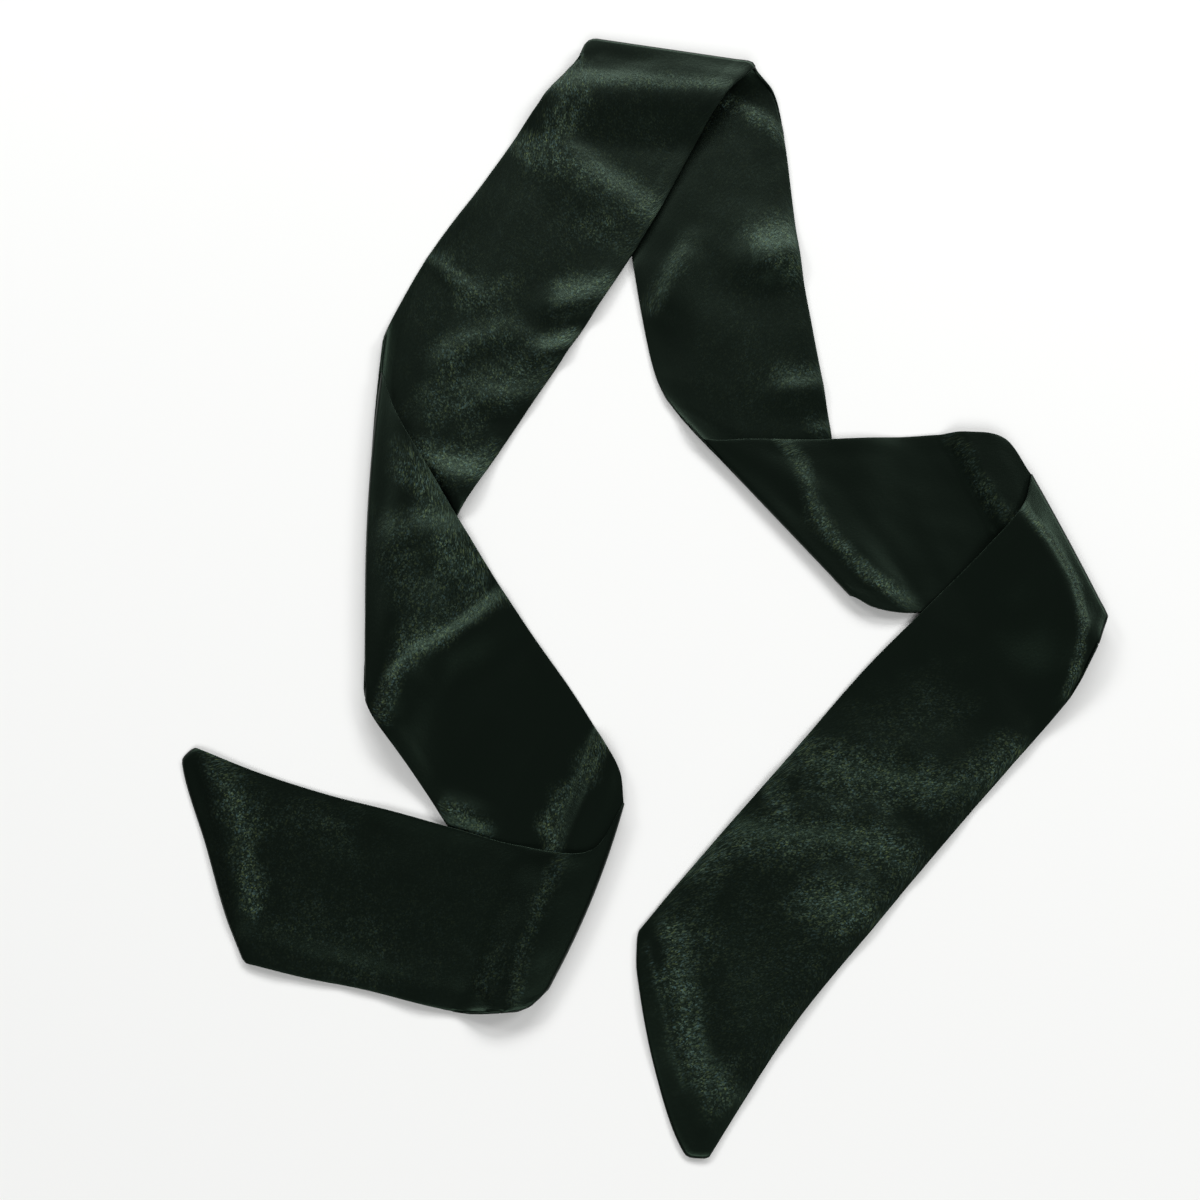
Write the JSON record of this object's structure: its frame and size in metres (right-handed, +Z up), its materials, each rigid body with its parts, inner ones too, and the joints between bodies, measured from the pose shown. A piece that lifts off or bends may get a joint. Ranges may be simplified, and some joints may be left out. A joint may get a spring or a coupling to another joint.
{
  "type": "long satin scarf sash",
  "caption": "Long black satin sash with slanted ends, laid on a table in a loose loop, rolled over on itself at each fold.",
  "frame": {"origin": "on the table, under the middle of the laid sash", "axes": "+Z up off the table; +Y towards the top fold, away from the viewer of the picture; +X to the right"},
  "size_m": [0.4166, 0.5244, 0.0156],
  "materials": {
    "satin": "black polyester satin with a faint green cast, soft directional sheen"
  },
  "bodies": {
    "root": {"stretch_left_end": "satin", "stretch_lower_left": "satin", "stretch_upper_left": "satin", "stretch_upper_right": "satin", "stretch_middle_right": "satin", "stretch_right_end": "satin"}
  },
  "joints": []
}
